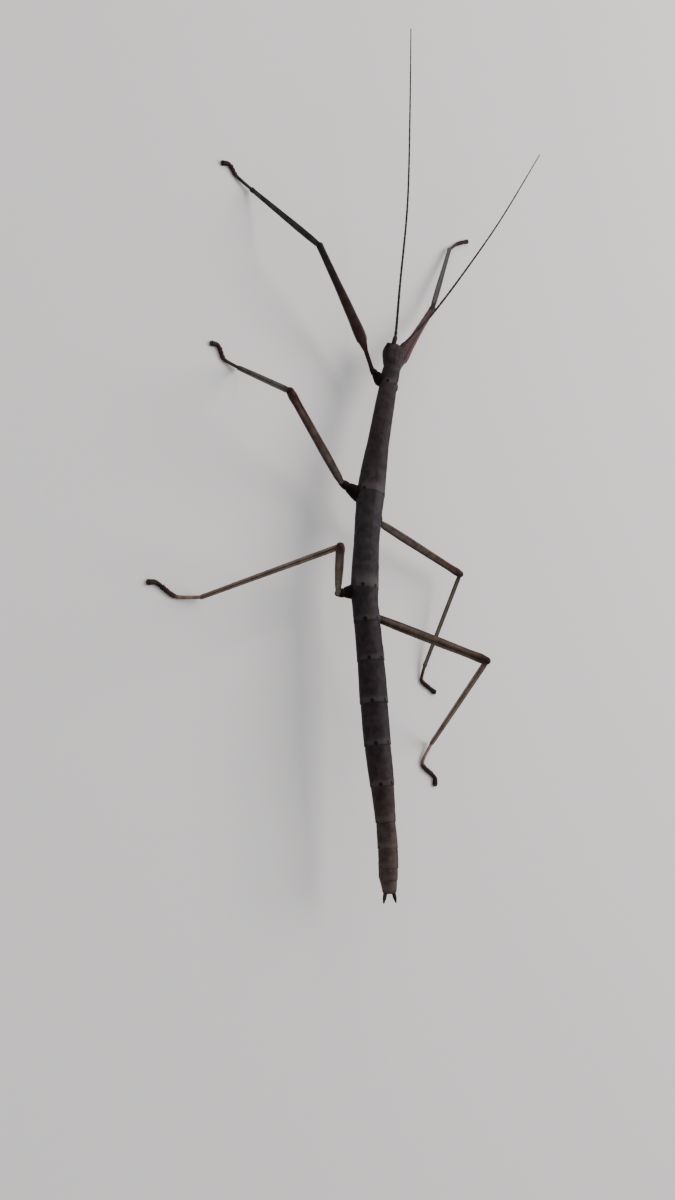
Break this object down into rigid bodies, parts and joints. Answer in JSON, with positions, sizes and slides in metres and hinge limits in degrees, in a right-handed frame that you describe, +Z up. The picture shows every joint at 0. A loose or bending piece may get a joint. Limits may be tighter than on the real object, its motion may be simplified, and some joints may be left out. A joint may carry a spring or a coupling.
{
  "type": "stick insect",
  "caption": "Long slender twig-like wingless insect standing on thin jointed legs, feelers stretched ahead, mottled dark brown.",
  "frame": {"origin": "on the floor under the middle of the whole animal's box", "axes": "+Y towards the head and feelers, +Z up, +X to the animal's right"},
  "size_m": [0.0664, 0.1418, 0.0224],
  "materials": {
    "head": "dark reddish brown cuticle, soft sheen, fine grain",
    "eye": "near black, smooth and glossy",
    "antenna": "dark brown, satin",
    "body": "purplish dark brown cuticle, matt with fine grain",
    "tail": "warm dark brown cuticle, matt with fine grain",
    "coxa": "near black cuticle, satin",
    "fore_femur": "maroon going dark grey at the knee, satin",
    "femur": "reddish brown with a tan middle, satin",
    "tibia": "grey brown with a darker ridge, satin",
    "tarsus": "dark brown, matt"
  },
  "bodies": {
    "root": {"head": "head", "eye_left": "eye", "eye_right": "eye", "antenna_left_scape": "antenna", "antenna_left_inner": "antenna", "antenna_left_outer": "antenna", "antenna_right_scape": "antenna", "antenna_right_inner": "antenna", "antenna_right_outer": "antenna", "prothorax": "body", "mesothorax": "body", "metathorax": "body", "median_segment": "body", "abdomen_2": "body", "abdomen_3": "body", "abdomen_4": "body", "abdomen_5": "tail", "abdomen_6": "tail", "abdomen_7": "tail", "abdomen_8": "tail", "abdomen_9": "tail", "abdomen_10": "tail", "cercus_left": "tail", "cercus_right": "tail", "operculum": "tail", "left_fore_coxa": "coxa", "left_fore_femur": "fore_femur", "left_fore_tibia": "tibia", "left_fore_tarsus": "tarsus", "right_fore_coxa": "coxa", "right_fore_femur": "fore_femur", "right_fore_tibia": "tibia", "right_fore_tarsus": "tarsus", "left_middle_coxa": "coxa", "left_middle_femur": "femur", "left_middle_tibia": "tibia", "left_middle_tarsus": "tarsus", "right_middle_coxa": "coxa", "right_middle_femur": "femur", "right_middle_tibia": "tibia", "right_middle_tarsus": "tarsus", "left_hind_coxa": "coxa", "left_hind_femur": "femur", "left_hind_tibia": "tibia", "left_hind_tarsus": "tarsus", "right_hind_coxa": "coxa", "right_hind_femur": "femur", "right_hind_tibia": "tibia", "right_hind_tarsus": "tarsus"}
  },
  "joints": []
}
